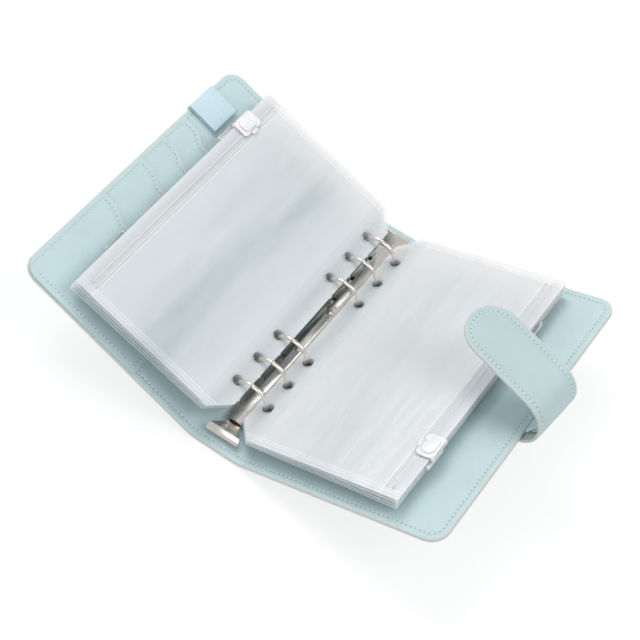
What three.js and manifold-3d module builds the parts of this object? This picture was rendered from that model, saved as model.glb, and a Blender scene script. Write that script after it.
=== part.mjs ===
// Six-ring cash envelope wallet, lying open on its spine with both covers raised.
// Millimetres, +Z up. X runs from the front cover (-X) to the back cover (+X), Y along the spine
// towards its far end. The origin is the middle of the spine's underside.
import * as THREE from 'three';
import { mergeVertices } from 'three/addons/utils/BufferGeometryUtils.js';
import Module from 'manifold-3d';

const wasm = await Module();
wasm.setup();

// Cover sheets and boards
const COVER_HEIGHT = 190;
const COVER_WIDTH = 125.5;
const CORNER_RADIUS = 10;
const SKIN_THICKNESS = 0.8;
const BOARD_THICKNESS = 0.9;
const LINING_THICKNESS = 0.8;
const SEAM_MARGIN = 5;
const CLEARANCE = 0.3;
const COVER_THICKNESS = SKIN_THICKNESS + BOARD_THICKNESS + LINING_THICKNESS + 2 * CLEARANCE;
const KNUCKLE_RADIUS = COVER_THICKNESS / 2;
const FLEX_WIDTH = 5;

// Spine and the angles at which the covers stand at rest
const SPINE_WIDTH = 30;
const FRONT_ANGLE = THREE.MathUtils.degToRad(24);
const BACK_ANGLE = THREE.MathUtils.degToRad(20);

// Card slots on the front cover's lining: where each one's top edge lies along Y
const SLOT_TOPS = [45, 26, 5, -28];
const SLOT_SHEET = 0.5;
const SLOT_RISE = 1.05;
const SLOT_TUCK = 8;
const SLOT_INNER_EDGE = 44;
const SLOT_SCOOP_DEPTH = 5;
const SLOT_SCOOP_START = 10;
const SLOT_SCOOP_SLOPE = 20;

// Elastic loops on the covers' outer edges
const ELASTIC_THICKNESS = 0.9;
const PEN_LOOP_WIDTH = 21;
const PEN_LOOP_CENTRE_Y = 62.5;
const PEN_LOOP_REACH = 20;
const PEN_LOOP_GAP = 0.8;
const EDGE_LOOP_WIDTH = 18;
const EDGE_LOOP_CENTRE_Y = -1;
const EDGE_LOOP_REACH = 8.5;
const EDGE_LOOP_HEIGHT = 3.4;
const EDGE_LOOP_ROOT_HALF = 0.9;
const EDGE_LOOP_LIFT = 4.6;

// Closing strap: sewn under the back cover, curled round its outer edge
const STRAP_WIDTH = 33;
const STRAP_THICKNESS = 2;
const STRAP_CENTRE_Y = 1.5;
const STRAP_SEWN_LENGTH = 40;
const STRAP_CURL_START = -1.5;
const STRAP_CURL_RADIUS = 14;
const STRAP_CURL_TURN = THREE.MathUtils.degToRad(152);
const STRAP_SKEW = THREE.MathUtils.degToRad(6);
const STRAP_FREE_LENGTH = 89.5;
const STRAP_TIP_FLAT = 3;

// Ring mechanism
const RING_SPACING = 19;
const RING_MIDDLE_GAP = 51;
const RING_RADIUS = 10.8;
const RING_WIRE = 2.4;
const RING_CENTRE_HEIGHT = 14.4;
const RING_FOOT_TURN = THREE.MathUtils.degToRad(57);
const RING_TIP_GAP = 0.3;
const SHIELD_WIDTH = 14.8;
const SHIELD_RISE = 3.7;
const SHIELD_THICKNESS = 0.8;
const SHIELD_OVERHANG = 12.5;
const RAIL_THICKNESS = 0.7;
const RAIL_WIDTH = 5.45;
const RAIL_GAP = 0.5;
const RAIL_LIFT = 0.4;
const RAIL_END_GAP = 0.5;
const RING_NOTCH = 3.4;
const FOOT_WIDTH = 2.1;
const RIVET_SPACING = 32;
const RIVET_SHANK = 2.6;
const RIVET_HEAD = 4.2;
const RIVET_HEAD_RISE = 0.6;
const LEVER_THICKNESS = 0.9;
const LEVER_NECK = 7.4;
const LEVER_INNER_LENGTH = 2.4;
const LEVER_PIN_INSET = 3;
const LEVER_PIN = 1.8;
const LEVER_TAB_LENGTH = 8.5;
const LEVER_TAB_RISE = 4.6;
const LEVER_TAB_WIDTH = 18;
const LEVER_LIP_LENGTH = 2.6;
const LEVER_LIP_DROP = 2.8;
const LEVER_LIP_WIDTH = 20.6;

// Zipped envelopes
const ENVELOPE_HEIGHT = 175;
const HOLE_TO_INNER_EDGE = 7.2;
const HOLE_TO_OUTER_EDGE = 97;
const HOLE_DIAMETER = 6.2;
const HOLE_SLACK = 1.1;
const CHAMFER_ACROSS = 10.5;
const CHAMFER_ALONG = 12;
const WELD_THICKNESS = 0.6;
const POUCH_THICKNESS = 0.9;
const FILM_THICKNESS = 0.25;
const HOLE_STRIP = 7.5;
const WELD_MARGIN = 4.5;
const ZIP_WIDTH = 3.5;
const ZIP_INSET = 2.5;
const ZIP_THICKNESS = 1;
const ZIP_MESH_GAP = 0.2;
const SLIDER_LENGTH = 15;
const SLIDER_ARM = 11;
const SLIDER_PROUD = 2;
const SLIDER_THICKNESS = 2.2;
const SLIDER_WALL = 0.4;
const SLIDER_GRIP_DEPTH = 0.2;

// Each stack from its lowest envelope up: where its holes sit on the rings, how high its outer
// edge stands over the cover's middle plane, and where its zip's slider is along Y
const LEFT_STACK = {
  firstHoleAngle: 12, holeAngleStep: 11, edges: [8.4, 11.6, 14.8, 18], sliders: [-48, 56, 50, 61],
};
const RIGHT_STACK = {
  firstHoleAngle: -21, holeAngleStep: 7, edges: [5.3, 7.8, 10.3, 12.8], sliders: [30, 51, -54, -50],
};

const ROUND_STEPS = 16;
const WIRE_SIDES = 8;
const OVERCUT = 1;

const foldX = SPINE_WIDTH / 2;
const foldZ = COVER_THICKNESS / 2;
const halfHeight = COVER_HEIGHT / 2;
const seat = COVER_THICKNESS;
const radians = THREE.MathUtils.degToRad;

const leather = { color: 0xc6dfe2, roughness: 0.55, metalness: 0 };
const boardGrey = { color: 0x9a958c, roughness: 0.9, metalness: 0 };
const elastic = { color: 0xc9e8f3, roughness: 0.85, metalness: 0 };
const nickel = { color: 0xc9c1ba, roughness: 0.2, metalness: 1 };
const film = { color: 0xd9dfe2, roughness: 0.3, metalness: 0 };
const sliderPlastic = { color: 0xeeeef1, roughness: 0.35, metalness: 0 };

/** Turn a closed three.js geometry into a solid that can be cut and joined. */
function solid(geometry) {
  const bare = geometry.clone();
  bare.deleteAttribute('normal');
  bare.deleteAttribute('uv');
  const merged = mergeVertices(bare, 1e-4);
  const mesh = new wasm.Mesh({
    numProp: 3,
    vertProperties: new Float32Array(merged.attributes.position.array),
    triVerts: new Uint32Array(merged.index.array),
  });
  return new wasm.Manifold(mesh);
}

/** Turn a cut or joined solid back into a geometry. */
function geometryOf(body) {
  const mesh = body.getMesh();
  const geometry = new THREE.BufferGeometry();
  geometry.setAttribute('position', new THREE.BufferAttribute(mesh.vertProperties, 3));
  geometry.setIndex(new THREE.BufferAttribute(mesh.triVerts, 1));
  geometry.computeVertexNormals();
  return geometry;
}

/** Join solids into one. */
function join(...bodies) {
  return bodies.reduce((sum, body) => sum.add(body));
}

/** Cut each tool from a solid. */
function cut(body, tools) {
  return tools.reduce((rest, tool) => rest.subtract(tool), body);
}

/** A block between two corners, as a solid. */
function block(x0, x1, y0, y1, z0, z1) {
  const geometry = new THREE.BoxGeometry(Math.abs(x1 - x0), y1 - y0, z1 - z0);
  geometry.translate((x0 + x1) / 2, (y0 + y1) / 2, (z0 + z1) / 2);
  return solid(geometry);
}

/** A flat sheet: an outline in X and Y, from one height up by its thickness. */
function sheet(points, bottom, thickness) {
  const geometry = new THREE.ExtrudeGeometry(new THREE.Shape(points), {
    depth: thickness, bevelEnabled: false,
  });
  geometry.translate(0, 0, bottom);
  return solid(geometry);
}

/** A bar along Y from a section in X and Z, which may have a hole. */
function bar(points, y0, y1, hole = null) {
  const shape = new THREE.Shape(points);
  if (hole) shape.holes.push(new THREE.Path(hole));
  const geometry = new THREE.ExtrudeGeometry(shape, { depth: y1 - y0, bevelEnabled: false });
  geometry.rotateX(Math.PI / 2);
  geometry.translate(0, y1, 0);
  return solid(geometry);
}

/** An upright round pin, as a solid. */
function pin(radius, x, y, z0, z1) {
  const geometry = new THREE.CylinderGeometry(radius, radius, z1 - z0, ROUND_STEPS);
  geometry.rotateX(Math.PI / 2);
  geometry.translate(x, y, (z0 + z1) / 2);
  return solid(geometry);
}

/** A round rod along X through y, z, as a solid. */
function crossPin(radius, halfLength, y, z) {
  const geometry = new THREE.CylinderGeometry(radius, radius, 2 * halfLength, ROUND_STEPS);
  geometry.rotateZ(Math.PI / 2);
  geometry.translate(0, y, z);
  return solid(geometry);
}

/** Points of an arc about a centre, both ends included. */
function arc(cx, cy, rx, ry, from, to, steps) {
  return Array.from({ length: steps + 1 }, (_, i) => {
    const angle = from + (to - from) * i / steps;
    return new THREE.Vector2(cx + rx * Math.cos(angle), cy + ry * Math.sin(angle));
  });
}

/** Add a named mesh to a group. */
function place(group, name, geometry, finish) {
  const mesh = new THREE.Mesh(geometry, new THREE.MeshStandardMaterial(finish));
  mesh.name = name;
  group.add(mesh);
  return mesh;
}

/** Outline of a cover panel from u0 out to u1, with round outer corners; side is 1 or -1 on X. */
function panelOutline(side, u0, u1, half, radius) {
  const quarter = ROUND_STEPS / 2;
  const near = arc(u1 - radius, radius - half, radius, radius, -Math.PI / 2, 0, quarter);
  const far = arc(u1 - radius, half - radius, radius, radius, 0, Math.PI / 2, quarter);
  const points = [new THREE.Vector2(u0, -half), ...near, ...far, new THREE.Vector2(u0, half)];
  return points.map((point) => new THREE.Vector2(side * point.x, point.y));
}

/** A cover's outer sheet: a shallow tray that takes the board, with its round fold edge. */
function coverSkin(side) {
  const bottom = -COVER_THICKNESS / 2;
  const wall = SKIN_THICKNESS + BOARD_THICKNESS + CLEARANCE;
  const tray = sheet(panelOutline(side, 0, COVER_WIDTH, halfHeight, CORNER_RADIUS), bottom, wall);
  const inner = panelOutline(
    side, FLEX_WIDTH, COVER_WIDTH - SEAM_MARGIN, halfHeight - SEAM_MARGIN, CORNER_RADIUS - SEAM_MARGIN,
  );
  const pocket = sheet(inner, bottom + SKIN_THICKNESS, wall);
  const knuckle = bar(arc(0, 0, KNUCKLE_RADIUS, KNUCKLE_RADIUS, 0, 2 * Math.PI * (1 - 1 / ROUND_STEPS),
    ROUND_STEPS - 1), -halfHeight, halfHeight);
  return join(cut(tray, [pocket]), knuckle);
}

/** A cover's stiff board, loose in the tray by the clearance all round. */
function coverBoard(side) {
  const half = halfHeight - SEAM_MARGIN - CLEARANCE;
  const outline = panelOutline(
    side, FLEX_WIDTH + CLEARANCE, COVER_WIDTH - SEAM_MARGIN - CLEARANCE, half, CORNER_RADIUS - SEAM_MARGIN,
  );
  return sheet(outline, -COVER_THICKNESS / 2 + SKIN_THICKNESS + CLEARANCE, BOARD_THICKNESS);
}

/** A cover's inner lining. */
function coverLining(side) {
  const outline = panelOutline(side, KNUCKLE_RADIUS + CLEARANCE, COVER_WIDTH, halfHeight, CORNER_RADIUS);
  return sheet(outline, COVER_THICKNESS / 2 - LINING_THICKNESS, LINING_THICKNESS);
}

/** Group that carries a cover: its local X runs along the cover, and it turns at the fold. */
function coverGroup(side, angle) {
  const group = new THREE.Group();
  group.position.set(side * foldX, 0, foldZ);
  group.rotation.y = -side * angle;
  return group;
}

/** One card slot panel: a thin sheet whose scooped top edge stands proud of the panel behind. */
function slotPanel(top, bottom, isLast) {
  const scoopOut = COVER_WIDTH - SLOT_SCOOP_START;
  const scoopIn = SLOT_INNER_EDGE + SLOT_SCOOP_START;
  const length = top - bottom;
  const lowered = length - SLOT_SCOOP_DEPTH;
  const corner = isLast
    ? arc(COVER_WIDTH - CORNER_RADIUS, CORNER_RADIUS, CORNER_RADIUS, CORNER_RADIUS, -Math.PI / 2, 0,
      ROUND_STEPS / 2)
    : [new THREE.Vector2(COVER_WIDTH, 0)];
  const points = [
    new THREE.Vector2(SLOT_INNER_EDGE, 0),
    ...corner,
    new THREE.Vector2(COVER_WIDTH, length),
    new THREE.Vector2(scoopOut, length),
    new THREE.Vector2(scoopOut - SLOT_SCOOP_SLOPE, lowered),
    new THREE.Vector2(scoopIn + SLOT_SCOOP_SLOPE, lowered),
    new THREE.Vector2(scoopIn, length),
    new THREE.Vector2(SLOT_INNER_EDGE, length),
  ].map((point) => new THREE.Vector2(-point.x, point.y));
  const geometry = new THREE.ExtrudeGeometry(new THREE.Shape(points), {
    depth: SLOT_SHEET, bevelEnabled: false,
  });
  geometry.rotateX(Math.asin(SLOT_RISE / length));
  geometry.translate(0, bottom, COVER_THICKNESS / 2 + CLEARANCE);
  return geometry;
}

/** The elastic pen loop: a flattened loop on the lining, with its tail down the cover's edge. */
function penLoop() {
  const y0 = PEN_LOOP_CENTRE_Y - PEN_LOOP_WIDTH / 2;
  const y1 = PEN_LOOP_CENTRE_Y + PEN_LOOP_WIDTH / 2;
  const outer = PEN_LOOP_GAP / 2 + ELASTIC_THICKNESS;
  const middle = COVER_THICKNESS / 2 + CLEARANCE + outer;
  const tailIn = COVER_WIDTH + CLEARANCE;
  const from = COVER_WIDTH - PEN_LOOP_REACH + outer;
  const to = tailIn + ELASTIC_THICKNESS - outer;
  const loop = (half) => [
    ...arc(-from, middle, half, half, Math.PI / 2, -Math.PI / 2, WIRE_SIDES),
    ...arc(-to, middle, half, half, -Math.PI / 2, -1.5 * Math.PI, WIRE_SIDES),
  ];
  const tail = block(-tailIn - ELASTIC_THICKNESS, -tailIn, y0, y1, 0, middle);
  return cut(join(bar(loop(outer), y0, y1), tail), [
    bar(loop(PEN_LOOP_GAP / 2), y0 - OVERCUT, y1 + OVERCUT),
  ]);
}

/** The narrow elastic loop that stands out of the back cover's edge, inside the strap's curl. */
function edgeLoop() {
  const y0 = EDGE_LOOP_CENTRE_Y - EDGE_LOOP_WIDTH / 2;
  const y1 = EDGE_LOOP_CENTRE_Y + EDGE_LOOP_WIDTH / 2;
  const root = COVER_WIDTH + CLEARANCE;
  const half = EDGE_LOOP_HEIGHT / 2;
  const drop = (inset) => {
    const round = half - inset;
    const centre = root + EDGE_LOOP_REACH - half;
    const start = root + 1.8 * inset;
    const rootHalf = EDGE_LOOP_ROOT_HALF - inset / 2;
    return [
      new THREE.Vector2(start, -rootHalf),
      ...arc(centre, EDGE_LOOP_LIFT, round, round, -Math.PI / 2, Math.PI / 2, WIRE_SIDES),
      new THREE.Vector2(start, rootHalf),
    ];
  };
  const hollow = bar(drop(ELASTIC_THICKNESS), y0 - OVERCUT, y1 + OVERCUT);
  return cut(bar(drop(0), y0, y1), [hollow]);
}

/** Where a point of the flat strap lies once it is curled: s along it, w across, h off its middle. */
function strapPoint(s, w, h) {
  const across = new THREE.Vector2(Math.sin(STRAP_SKEW), Math.cos(STRAP_SKEW));
  const along = new THREE.Vector2(Math.cos(STRAP_SKEW), -Math.sin(STRAP_SKEW));
  const a = s * along.x + w * along.y;
  const b = s * across.x + w * across.y;
  const start = COVER_WIDTH + STRAP_CURL_START;
  const turn = Math.min(Math.max((a - start) / STRAP_CURL_RADIUS, 0), STRAP_CURL_TURN);
  const beyond = Math.max(a - start - STRAP_CURL_RADIUS * STRAP_CURL_TURN, 0);
  const reach = STRAP_CURL_RADIUS + h;
  const flat = Math.min(a, start);
  const out = flat + reach * Math.sin(turn) + beyond * Math.cos(turn);
  const up = STRAP_CURL_RADIUS - reach * Math.cos(turn) + beyond * Math.sin(turn);
  const base = -COVER_THICKNESS / 2 - CLEARANCE - STRAP_THICKNESS / 2;
  return [
    b * across.x + out * along.x,
    STRAP_CENTRE_Y + b * across.y + out * along.y,
    base + up,
  ];
}

/** The closing strap as one closed band: sewn length, curl and free end with a round tip. */
function closingStrap() {
  const half = STRAP_WIDTH / 2;
  const root = COVER_WIDTH - STRAP_SEWN_LENGTH;
  const tip = COVER_WIDTH + STRAP_FREE_LENGTH;
  const curlLength = STRAP_CURL_RADIUS * STRAP_CURL_TURN;
  const slack = half * Math.tan(STRAP_SKEW);
  const curlFrom = COVER_WIDTH + STRAP_CURL_START - slack;
  const curlTo = curlFrom + curlLength + 2 * slack;
  const stations = [root];
  for (let i = 0; i <= ROUND_STEPS; i += 1) stations.push(curlFrom + (curlTo - curlFrom) * i / ROUND_STEPS);
  const tipTurn = Math.acos(STRAP_TIP_FLAT / half);
  for (let i = 0; i <= WIRE_SIDES; i += 1) stations.push(tip - half + half * Math.sin(tipTurn * i / WIRE_SIDES));
  const widthAt = (s) => Math.sqrt(Math.max(half ** 2 - Math.max(s - (tip - half), 0) ** 2, 0));
  const columns = 4;
  const positions = [];
  const faces = [];
  const row = 2 * (columns + 1);
  stations.forEach((s) => {
    for (const h of [STRAP_THICKNESS / 2, -STRAP_THICKNESS / 2]) {
      for (let i = 0; i <= columns; i += 1) {
        positions.push(...strapPoint(s, widthAt(s) * (2 * i / columns - 1), h));
      }
    }
  });
  const quad = (a, b, c, d) => faces.push(a, b, c, a, c, d);
  for (let k = 0; k < stations.length - 1; k += 1) {
    const here = k * row;
    const next = here + row;
    for (let i = 0; i < columns; i += 1) {
      quad(here + i, here + i + 1, next + i + 1, next + i);
      const low = columns + 1 + i;
      quad(here + low, next + low, next + low + 1, here + low + 1);
    }
    quad(here, next, next + columns + 1, here + columns + 1);
    quad(here + columns, here + row - 1, next + row - 1, next + columns);
  }
  const last = (stations.length - 1) * row;
  for (let i = 0; i < columns; i += 1) {
    const low = columns + 1 + i;
    quad(i, low, low + 1, i + 1);
    quad(last + i, last + i + 1, last + low + 1, last + low);
  }
  const geometry = new THREE.BufferGeometry();
  geometry.setAttribute('position', new THREE.Float32BufferAttribute(positions, 3));
  geometry.setIndex(faces);
  geometry.computeVertexNormals();
  return geometry;
}

/** Where the six rings stand along Y. */
function ringPlaces() {
  const first = RING_MIDDLE_GAP / 2;
  const half = [first, first + RING_SPACING, first + 2 * RING_SPACING];
  return [...half.map((y) => -y), ...half];
}

/** Section of the domed shield: half an ellipse of the given half width and rise. */
function dome(halfWidth, rise) {
  return arc(0, seat, halfWidth, rise, 0, Math.PI, ROUND_STEPS);
}

const shieldLength = RING_MIDDLE_GAP + 4 * RING_SPACING + 2 * SHIELD_OVERHANG;
const railOuter = RAIL_GAP / 2 + RAIL_WIDTH;
const railBottom = seat + RAIL_LIFT;
const railTop = railBottom + RAIL_THICKNESS;
const pinY = shieldLength / 2 - LEVER_PIN_INSET;
const pinZ = seat + LEVER_PIN_INSET / 2;

/** The domed steel shield, with a notch for each ring's wire and holes for rivets and lever pins. */
function ringShield() {
  const half = shieldLength / 2;
  const shell = cut(bar(dome(SHIELD_WIDTH / 2, SHIELD_RISE), -half, half), [
    bar(dome(SHIELD_WIDTH / 2 - SHIELD_THICKNESS, SHIELD_RISE - SHIELD_THICKNESS), -half - OVERCUT,
      half + OVERCUT),
  ]);
  const notchInner = railOuter - FOOT_WIDTH - 2 * CLEARANCE;
  const tools = [];
  for (const y of ringPlaces()) {
    for (const side of [-1, 1]) {
      tools.push(block(side * notchInner, side * SHIELD_WIDTH, y - RING_NOTCH / 2, y + RING_NOTCH / 2,
        seat - OVERCUT, seat + SHIELD_RISE + OVERCUT));
    }
  }
  for (const y of [-RIVET_SPACING / 2, RIVET_SPACING / 2]) {
    tools.push(pin(RIVET_SHANK / 2 + CLEARANCE, 0, y, seat, seat + SHIELD_RISE + OVERCUT));
  }
  for (const y of [-pinY, pinY]) tools.push(crossPin(LEVER_PIN / 2 + CLEARANCE, SHIELD_WIDTH, y, pinZ));
  return cut(shell, tools);
}

/** One of the two rails that carry the half rings, hinged on its outer edge. */
function rail(side) {
  const half = pinY - LEVER_INNER_LENGTH - RAIL_END_GAP;
  const strip = block(side * RAIL_GAP / 2, side * railOuter, -half, half, railBottom, railTop);
  const reliefs = [-RIVET_SPACING / 2, RIVET_SPACING / 2].map((y) => (
    pin(RIVET_SHANK / 2 + 2 * CLEARANCE, 0, y, railBottom - OVERCUT, railTop + OVERCUT)));
  return cut(strip, reliefs);
}

/** Half a ring of wire, from its tip at the top down to the flat foot on its rail. */
function halfRing(side) {
  const tip = Math.asin(RING_TIP_GAP / 2 / RING_RADIUS);
  const from = Math.PI / 2 - tip;
  const to = -RING_FOOT_TURN;
  const steps = ROUND_STEPS;
  const path = Array.from({ length: steps + 1 }, (_, i) => {
    const angle = from + (to - from) * i / steps;
    return new THREE.Vector3(
      side * RING_RADIUS * Math.cos(angle), 0, RING_CENTRE_HEIGHT + RING_RADIUS * Math.sin(angle));
  });
  const positions = [];
  const faces = [];
  const centre = new THREE.Vector3(0, 0, RING_CENTRE_HEIGHT);
  path.forEach((point) => {
    const outward = point.clone().sub(centre).normalize();
    for (let k = 0; k < WIRE_SIDES; k += 1) {
      const angle = 2 * Math.PI * (k + 0.5) / WIRE_SIDES;
      const spot = point.clone().addScaledVector(outward, RING_WIRE / 2 * Math.cos(angle));
      spot.y += side * RING_WIRE / 2 * Math.sin(angle);
      positions.push(spot.x, spot.y, spot.z);
    }
  });
  for (let i = 0; i < steps; i += 1) {
    for (let k = 0; k < WIRE_SIDES; k += 1) {
      const a = i * WIRE_SIDES + k;
      const b = i * WIRE_SIDES + (k + 1) % WIRE_SIDES;
      faces.push(a, b + WIRE_SIDES, b, a, a + WIRE_SIDES, b + WIRE_SIDES);
    }
  }
  const last = steps * WIRE_SIDES;
  for (let k = 1; k < WIRE_SIDES - 1; k += 1) {
    faces.push(0, k, k + 1);
    faces.push(last, last + k + 1, last + k);
  }
  const geometry = new THREE.BufferGeometry();
  geometry.setAttribute('position', new THREE.Float32BufferAttribute(positions, 3));
  geometry.setIndex(faces);
  const footTop = RING_CENTRE_HEIGHT - RING_RADIUS * Math.sin(RING_FOOT_TURN) + CLEARANCE;
  const foot = block(side * (railOuter - FOOT_WIDTH), side * (railOuter + CLEARANCE), -RING_WIRE / 2,
    RING_WIRE / 2, railTop + CLEARANCE, footTop);
  return join(solid(geometry), foot);
}

/** A rivet that holds the shield to the spine board: domed head, shank down to the board. */
function rivet(y) {
  const crown = seat + SHIELD_RISE + CLEARANCE / 2;
  const foot = SKIN_THICKNESS + CLEARANCE;
  const profile = [
    new THREE.Vector2(0, foot),
    new THREE.Vector2(RIVET_SHANK / 2, foot),
    new THREE.Vector2(RIVET_SHANK / 2, crown),
    new THREE.Vector2(RIVET_HEAD / 2, crown),
    ...arc(0, crown, RIVET_HEAD / 2, RIVET_HEAD_RISE, Math.PI / 8, Math.PI / 2, 3).slice(0, -1),
    new THREE.Vector2(0, crown + RIVET_HEAD_RISE),
  ];
  const geometry = new THREE.LatheGeometry(profile, ROUND_STEPS);
  geometry.rotateX(Math.PI / 2);
  geometry.translate(0, y, 0);
  return geometryOf(solid(geometry));
}

/** An end lever: neck inside the shield on its cross pin, flared tab and a lip turned down. */
function lever(end) {
  const neck = LEVER_NECK / 2;
  const inner = pinY - LEVER_INNER_LENGTH;
  const bend = shieldLength / 2 + 1;
  const tabEnd = bend + LEVER_TAB_LENGTH;
  const lipEnd = tabEnd + LEVER_LIP_LENGTH;
  const low = pinZ - LEVER_THICKNESS / 2;
  const high = low + LEVER_TAB_RISE;
  const profile = [
    [inner, low], [bend, low], [tabEnd, high], [lipEnd, high - LEVER_LIP_DROP],
    [lipEnd + LEVER_THICKNESS, high - LEVER_LIP_DROP + LEVER_THICKNESS / 2],
    [tabEnd + LEVER_THICKNESS / 2, high + LEVER_THICKNESS], [bend, low + LEVER_THICKNESS],
    [inner, low + LEVER_THICKNESS],
  ].map(([y, z]) => new THREE.Vector2(y, z));
  const side = new THREE.ExtrudeGeometry(new THREE.Shape(profile), {
    depth: LEVER_LIP_WIDTH, bevelEnabled: false,
  });
  side.rotateX(Math.PI / 2);
  side.rotateZ(Math.PI / 2);
  side.translate(-LEVER_LIP_WIDTH / 2, 0, 0);
  const wide = LEVER_TAB_WIDTH / 2;
  const lip = LEVER_LIP_WIDTH / 2;
  const half = [
    [neck, inner], [neck, bend], [neck + 1.2, bend + 2.5], [wide - 1.5, tabEnd - 1.5], [wide, tabEnd],
    [lip, lipEnd - 0.8], [lip - 0.8, lipEnd + LEVER_THICKNESS + OVERCUT],
  ];
  const plan = [...half, ...half.slice().reverse().map(([x, y]) => [-x, y])]
    .map(([x, y]) => new THREE.Vector2(x, y));
  const flat = solid(side).intersect(sheet(plan, 0, 2 * RING_CENTRE_HEIGHT));
  const pinned = join(flat, crossPin(LEVER_PIN / 2, SHIELD_WIDTH / 2 - SHIELD_THICKNESS, pinY, pinZ));
  const geometry = geometryOf(pinned);
  if (end < 0) geometry.rotateZ(Math.PI);
  return geometry;
}

/** One zipped envelope, flat, with its holes on the Y axis and its zip towards side * X. */
function envelope(side) {
  const half = ENVELOPE_HEIGHT / 2;
  const inner = -HOLE_TO_INNER_EDGE;
  const outer = HOLE_TO_OUTER_EDGE;
  const outline = [
    [inner + CHAMFER_ACROSS, -half], [outer, -half], [outer, half], [inner + CHAMFER_ACROSS, half],
    [inner, half - CHAMFER_ALONG], [inner, CHAMFER_ALONG - half],
  ].map(([x, y]) => new THREE.Vector2(side * x, y));
  const weld = sheet(outline, -WELD_THICKNESS / 2, WELD_THICKNESS);
  const pouchHalf = half - WELD_MARGIN;
  const pouchIn = side * HOLE_STRIP;
  const thick = POUCH_THICKNESS / 2;
  const pouch = block(pouchIn, side * outer, -pouchHalf, pouchHalf, -thick, thick);
  const zipOut = outer - ZIP_INSET;
  const zipIn = zipOut - ZIP_WIDTH;
  const ridge = block(side * zipIn, side * zipOut, -pouchHalf, pouchHalf, -ZIP_THICKNESS / 2,
    ZIP_THICKNESS / 2);
  const room = thick - FILM_THICKNESS;
  const cavityHalf = pouchHalf - FILM_THICKNESS;
  const cavity = block(side * (HOLE_STRIP + FILM_THICKNESS), side * (zipIn + FILM_THICKNESS), -cavityHalf,
    cavityHalf, -room, room);
  const mouth = block(side * (zipOut - FILM_THICKNESS), side * (outer + OVERCUT), -cavityHalf, cavityHalf,
    -room, room);
  const slit = block(side * zipIn, side * zipOut, -cavityHalf, cavityHalf, -ZIP_MESH_GAP / 2,
    ZIP_MESH_GAP / 2);
  const holes = ringPlaces().map((y) => (
    pin(HOLE_DIAMETER / 2, 0, y, -WELD_THICKNESS, WELD_THICKNESS)));
  return cut(join(weld, pouch, ridge), [cavity, mouth, slit, ...holes]);
}

/** A zip's slider: a clip that straddles the envelope's outer edge, with a finger hollow. */
function slider(side) {
  const half = SLIDER_LENGTH / 2;
  const inner = HOLE_TO_OUTER_EDGE + SLIDER_PROUD - SLIDER_ARM;
  const outer = HOLE_TO_OUTER_EDGE + SLIDER_PROUD;
  const thick = SLIDER_THICKNESS / 2;
  const corner = 0.6;
  const section = [
    [inner, -thick + corner], [inner + corner, -thick], [outer - corner, -thick], [outer, -thick + corner],
    [outer, thick - corner], [outer - corner, thick], [inner + corner, thick], [inner, thick - corner],
  ].map(([x, z]) => new THREE.Vector2(side * x, z));
  const channelOut = HOLE_TO_OUTER_EDGE + CLEARANCE;
  const channel = block(side * (inner - OVERCUT), side * channelOut, -half - OVERCUT, half + OVERCUT,
    -thick + SLIDER_WALL, thick - SLIDER_WALL);
  const grip = half / 2;
  const hollow = block(side * (inner + 2), side * (outer - 2), -grip, grip, thick - SLIDER_GRIP_DEPTH,
    thick + OVERCUT);
  return cut(bar(section, -half, half), [channel, hollow]);
}

/** One side's stack of envelopes on the rings, each with its slider. */
function envelopeStack(group, side, label, stack, coverAngle) {
  const leafShape = geometryOf(envelope(side));
  const sliderShape = geometryOf(slider(side));
  const toCentreX = -foldX;
  const toCentreZ = RING_CENTRE_HEIGHT - foldZ;
  stack.sliders.forEach((sliderY, k) => {
    const holeAngle = radians(stack.firstHoleAngle + k * stack.holeAngleStep);
    const holeU = RING_RADIUS * Math.cos(holeAngle);
    const holeZ = RING_RADIUS * Math.sin(holeAngle);
    const overCover = (toCentreZ + holeZ) * Math.cos(coverAngle) - (toCentreX + holeU) * Math.sin(coverAngle);
    const tilt = coverAngle + Math.asin((stack.edges[k] - overCover) / HOLE_TO_OUTER_EDGE);
    const leaf = new THREE.Group();
    const slackU = HOLE_SLACK * Math.cos(tilt);
    const slackZ = HOLE_SLACK * Math.sin(tilt);
    leaf.position.set(side * (holeU + slackU), 0, RING_CENTRE_HEIGHT + holeZ + slackZ);
    leaf.rotation.y = -side * tilt;
    place(leaf, `${label}_envelope_${k + 1}`, leafShape.clone(), film);
    place(leaf, `${label}_zip_slider_${k + 1}`, sliderShape.clone(), sliderPlastic).position.y = sliderY;
    group.add(leaf);
  });
}

/** Spine: outer sheet, board and lining strip, under the ring mechanism. */
function addSpine(group) {
  const half = foldX - KNUCKLE_RADIUS - CLEARANCE;
  const wall = SKIN_THICKNESS + BOARD_THICKNESS + CLEARANCE;
  const seam = SEAM_MARGIN / 2;
  const tray = block(-half, half, -halfHeight, halfHeight, 0, wall);
  const pocket = block(-half + seam, half - seam, -halfHeight + SEAM_MARGIN, halfHeight - SEAM_MARGIN,
    SKIN_THICKNESS, wall + OVERCUT);
  place(group, 'spine_skin', geometryOf(cut(tray, [pocket])), leather);
  const shankHoles = () => [-RIVET_SPACING / 2, RIVET_SPACING / 2].map((y) => (
    pin(RIVET_SHANK / 2 + CLEARANCE, 0, y, SKIN_THICKNESS, seat + OVERCUT)));
  const boardHalf = half - seam - CLEARANCE;
  const boardLong = halfHeight - SEAM_MARGIN - CLEARANCE;
  const boardLow = SKIN_THICKNESS + CLEARANCE;
  const board = block(-boardHalf, boardHalf, -boardLong, boardLong, boardLow, boardLow + BOARD_THICKNESS);
  place(group, 'spine_board', geometryOf(cut(board, shankHoles())), boardGrey);
  const lining = block(-half, half, -halfHeight, halfHeight, seat - LINING_THICKNESS, seat);
  place(group, 'spine_lining', geometryOf(cut(lining, shankHoles())), leather);
}

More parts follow.
